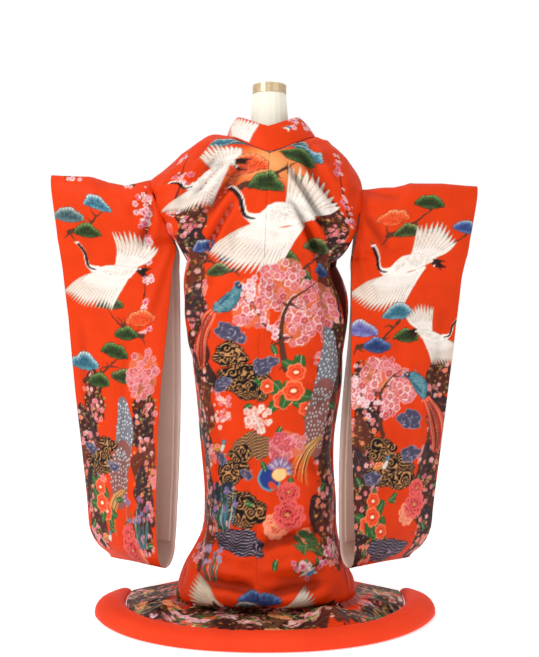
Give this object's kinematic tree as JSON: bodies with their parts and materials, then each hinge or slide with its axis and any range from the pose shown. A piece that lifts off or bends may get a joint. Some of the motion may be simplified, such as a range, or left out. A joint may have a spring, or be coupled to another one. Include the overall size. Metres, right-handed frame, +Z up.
{
  "type": "uchikake wedding kimono on a limbless dress form with a stand",
  "caption": "Long trailing over-kimono with wide hanging sleeves, folded-out collar and padded hem, worn open on a limbless dress form on a pole stand.",
  "frame": {"origin": "centre of the stand base's underside, on the floor under the pole", "axes": "+Z up; the garment's back and its train face -Y; +X is towards the wearer's right sleeve"},
  "size_m": [1.2262, 0.7466, 1.4845],
  "materials": {
    "silk": "satin",
    "lining": "satin",
    "hem_silk": "satin",
    "form_cover": "matte",
    "brass": "satin",
    "wood": "satin",
    "stand_steel": "satin"
  },
  "bodies": {
    "root": {"body_left": "silk", "body_right": "silk", "okumi_left": "silk", "okumi_right": "silk", "collar": "silk", "sleeve_left": "silk", "sleeve_right": "silk", "sleeve_lining_left": "lining", "sleeve_lining_right": "lining", "hem_roll": "hem_silk", "form_torso": "form_cover", "neck_band": "brass", "neck_cap": "wood", "stand_pole": "stand_steel", "stand_base": "stand_steel", "sleeve_rod_left": "wood", "sleeve_rod_right": "wood"}
  },
  "joints": []
}
